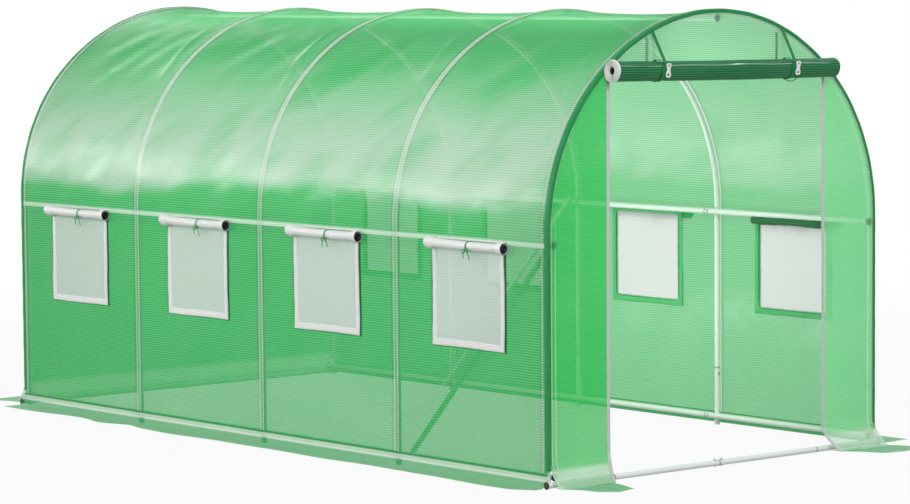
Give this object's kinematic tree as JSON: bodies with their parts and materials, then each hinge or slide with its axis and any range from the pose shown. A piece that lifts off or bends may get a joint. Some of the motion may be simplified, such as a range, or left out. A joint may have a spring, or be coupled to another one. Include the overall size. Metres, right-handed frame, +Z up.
{
  "type": "polytunnel greenhouse",
  "caption": "Arched walk-in greenhouse: round tube hoops and rails under a green film cover with roll-up windows, a rolled front door and ground skirts.",
  "frame": {"origin": "on the ground, at the middle of the tunnel's plan", "axes": "X across the tunnel, -Y towards the door end, +Z up"},
  "size_m": [2.4806, 4.545, 2.0041],
  "materials": {
    "coated_tube": "white powder-coated round steel tube, softly glossy",
    "cover_film": "translucent green reinforced film, woven grid in clear glossy sheet",
    "skirt_film": "the same green film lying on the ground, duller",
    "cap_plastic": "black moulded end cap",
    "window_net": "fine white insect net with a white sewn hem",
    "flap_fabric": "white coated fabric, rolled up",
    "tie_tape": "thin green tape",
    "rolled_film": "many layers of green film rolled up, dark and glossy",
    "strap_webbing": "dark green webbing",
    "buckle_plastic": "white moulded plastic",
    "zip_tape": "white zip tape with fine moulded teeth",
    "binding_tape": "green sewn binding tape"
  },
  "bodies": {
    "root": {"front_hoop": "coated_tube", "hoop_2": "coated_tube", "hoop_3": "coated_tube", "hoop_4": "coated_tube", "rear_hoop": "coated_tube", "left_base_rail": "coated_tube", "right_base_rail": "coated_tube", "left_purlin": "coated_tube", "right_purlin": "coated_tube", "ridge_purlin": "coated_tube", "front_base_rail": "coated_tube", "rear_base_rail": "coated_tube", "left_brace": "coated_tube", "right_brace": "coated_tube", "tube_end_caps": "cap_plastic", "roof_1": "cover_film", "roof_2": "cover_film", "roof_3": "cover_film", "roof_4": "cover_film", "left_wall_1": "cover_film", "left_wall_2": "cover_film", "left_wall_3": "cover_film", "left_wall_4": "cover_film", "right_wall_1": "cover_film", "right_wall_2": "cover_film", "right_wall_3": "cover_film", "right_wall_4": "cover_film", "left_window_nets": "window_net", "right_window_nets": "window_net", "left_rolled_flaps": "flap_fabric", "right_rolled_flaps": "flap_fabric", "flap_ties": "tie_tape", "front_wall_left": "cover_film", "front_wall_right": "cover_film", "front_wall_top": "cover_film", "rear_wall": "cover_film", "rolled_door": "rolled_film", "door_straps": "strap_webbing", "strap_buckles": "buckle_plastic", "door_zips": "zip_tape", "end_bindings": "binding_tape", "left_skirt": "skirt_film", "right_skirt": "skirt_film", "front_skirts": "skirt_film", "rear_skirt": "skirt_film"}
  },
  "joints": []
}
